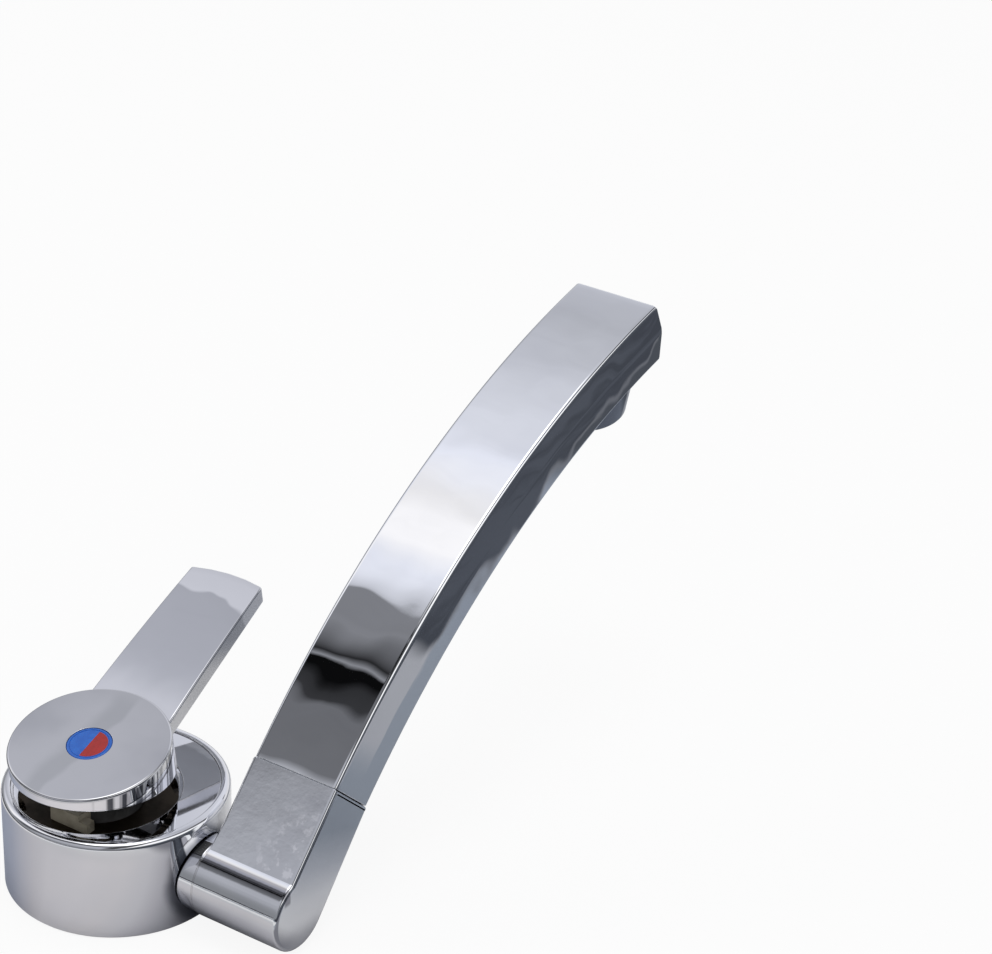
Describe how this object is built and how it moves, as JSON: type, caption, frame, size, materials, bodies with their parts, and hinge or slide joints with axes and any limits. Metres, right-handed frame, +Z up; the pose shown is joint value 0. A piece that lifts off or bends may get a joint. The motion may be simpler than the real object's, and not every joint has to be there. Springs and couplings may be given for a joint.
{
  "type": "caravan mixer tap",
  "caption": "Single-lever caravan mixer tap with a round chrome body, a disc lever and a bent square spout that folds down on a side axle; tails and a clamp nut below.",
  "frame": {"origin": "centre of the body's underside, on the worktop", "axes": "+Z up, +X along the spout's axle away from the body, +Y the side that the lever and the spout reach over"},
  "size_m": [0.0754, 0.1655, 0.1817],
  "materials": {
    "chrome_body": "polished chrome plate",
    "chrome_cover": "polished chrome plate",
    "chrome_lever": "polished chrome plate",
    "chrome_spout": "polished chrome plate",
    "chrome_nozzle": "polished chrome plate",
    "indicator_blue": "glossy blue",
    "indicator_red": "glossy red",
    "ivory_plastic": "moulded ivory",
    "dark_plastic": "moulded dark grey",
    "nut_brass": "machined brass",
    "steel": "machined stainless steel",
    "ceramic": "lapped white ceramic",
    "seal_rubber": "black rubber",
    "white_plastic": "moulded white",
    "shank_plastic": "glass-filled black plastic",
    "tail_pipe": "extruded light grey pipe",
    "water_pipe": "extruded grey pipe",
    "hot_red": "moulded red",
    "cold_blue": "moulded blue"
  },
  "bodies": {
    "tap_body": {"axle_collar": "chrome_body", "axle_screw": "steel", "base_seal": "seal_rubber", "body_shell": "chrome_body", "cartridge_base": "ivory_plastic", "cartridge_housing": "ivory_plastic", "clamp_gasket": "seal_rubber", "clamp_washer": "steel", "cold_band": "cold_blue", "cold_tail": "tail_pipe", "cover_plate": "chrome_cover", "fixed_disc": "ceramic", "hot_band": "hot_red", "hot_tail": "tail_pipe", "housing_seal": "seal_rubber", "limit_stop": "ivory_plastic", "mounting_nut": "shank_plastic", "mounting_shank": "shank_plastic", "port_seals": "seal_rubber", "retaining_nut": "nut_brass", "tail_seals": "seal_rubber", "thrust_washer": "white_plastic"},
    "cartridge_rotor": {"rotor": "dark_plastic", "pivot_pin": "steel"},
    "lever": {"spindle": "steel", "lever_head": "chrome_lever", "lever_screw": "steel", "indicator_blue": "indicator_blue", "indicator_red": "indicator_red"},
    "disc_slider": {"disc_carrier": "dark_plastic", "moving_disc": "ceramic"},
    "spout": {"axle_tube": "nut_brass", "axle_seals": "seal_rubber", "elbow": "chrome_spout", "spout_arm": "chrome_spout", "water_tube": "water_pipe", "tube_seal": "seal_rubber", "outlet_union": "white_plastic", "union_seal": "seal_rubber", "nozzle": "chrome_nozzle", "aerator_seal": "seal_rubber", "aerator_insert": "white_plastic"}
  },
  "joints": [
    {"name": "lever_swing", "type": "hinge", "parent": "tap_body", "child": "cartridge_rotor", "pos_m": [-0.00229, -0.00328, 0.0203], "axis": [0, 0, 1], "range_deg": [-25, 25]},
    {"name": "lever_lift", "type": "hinge", "parent": "cartridge_rotor", "child": "lever", "pos_m": [-0.00229, -0.00328, 0.0203], "axis": [0.9942, 0.108, 0], "range_deg": [0, 14]},
    {"name": "disc_slide", "type": "slide", "parent": "cartridge_rotor", "child": "disc_slider", "axis": [-0.108, 0.9942, 0], "range_m": [0, 0.0012]},
    {"name": "spout_fold", "type": "hinge", "parent": "tap_body", "child": "spout", "pos_m": [0, 0, 0.0103], "axis": [-1, 0, 0], "range_deg": [-43.5, 30]}
  ],
  "couplings": [
    {"joint": "disc_slide", "follows": "lever_lift", "m_per_rad": 0.00457}
  ]
}
